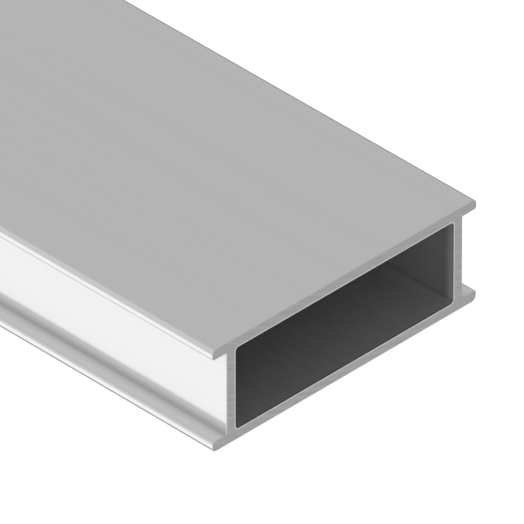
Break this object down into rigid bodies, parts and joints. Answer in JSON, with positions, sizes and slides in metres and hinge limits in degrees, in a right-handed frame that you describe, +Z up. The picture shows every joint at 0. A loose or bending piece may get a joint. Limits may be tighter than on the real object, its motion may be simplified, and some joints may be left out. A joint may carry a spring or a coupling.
{
  "type": "aluminium extrusion profile",
  "caption": "Straight aluminium extrusion: flat rectangular hollow section with flange lips standing past the webs, leaving a shallow channel along each side.",
  "frame": {"origin": "centre of the underside, midway along the bar", "axes": "+X along the bar's length, +Y across its width, +Z up through its height"},
  "size_m": [1, 0.075, 0.025],
  "materials": {
    "aluminium": "mill finish with fine die lines along the length, saw-cut ends"
  },
  "bodies": {
    "root": {"profile": "aluminium"}
  },
  "joints": []
}
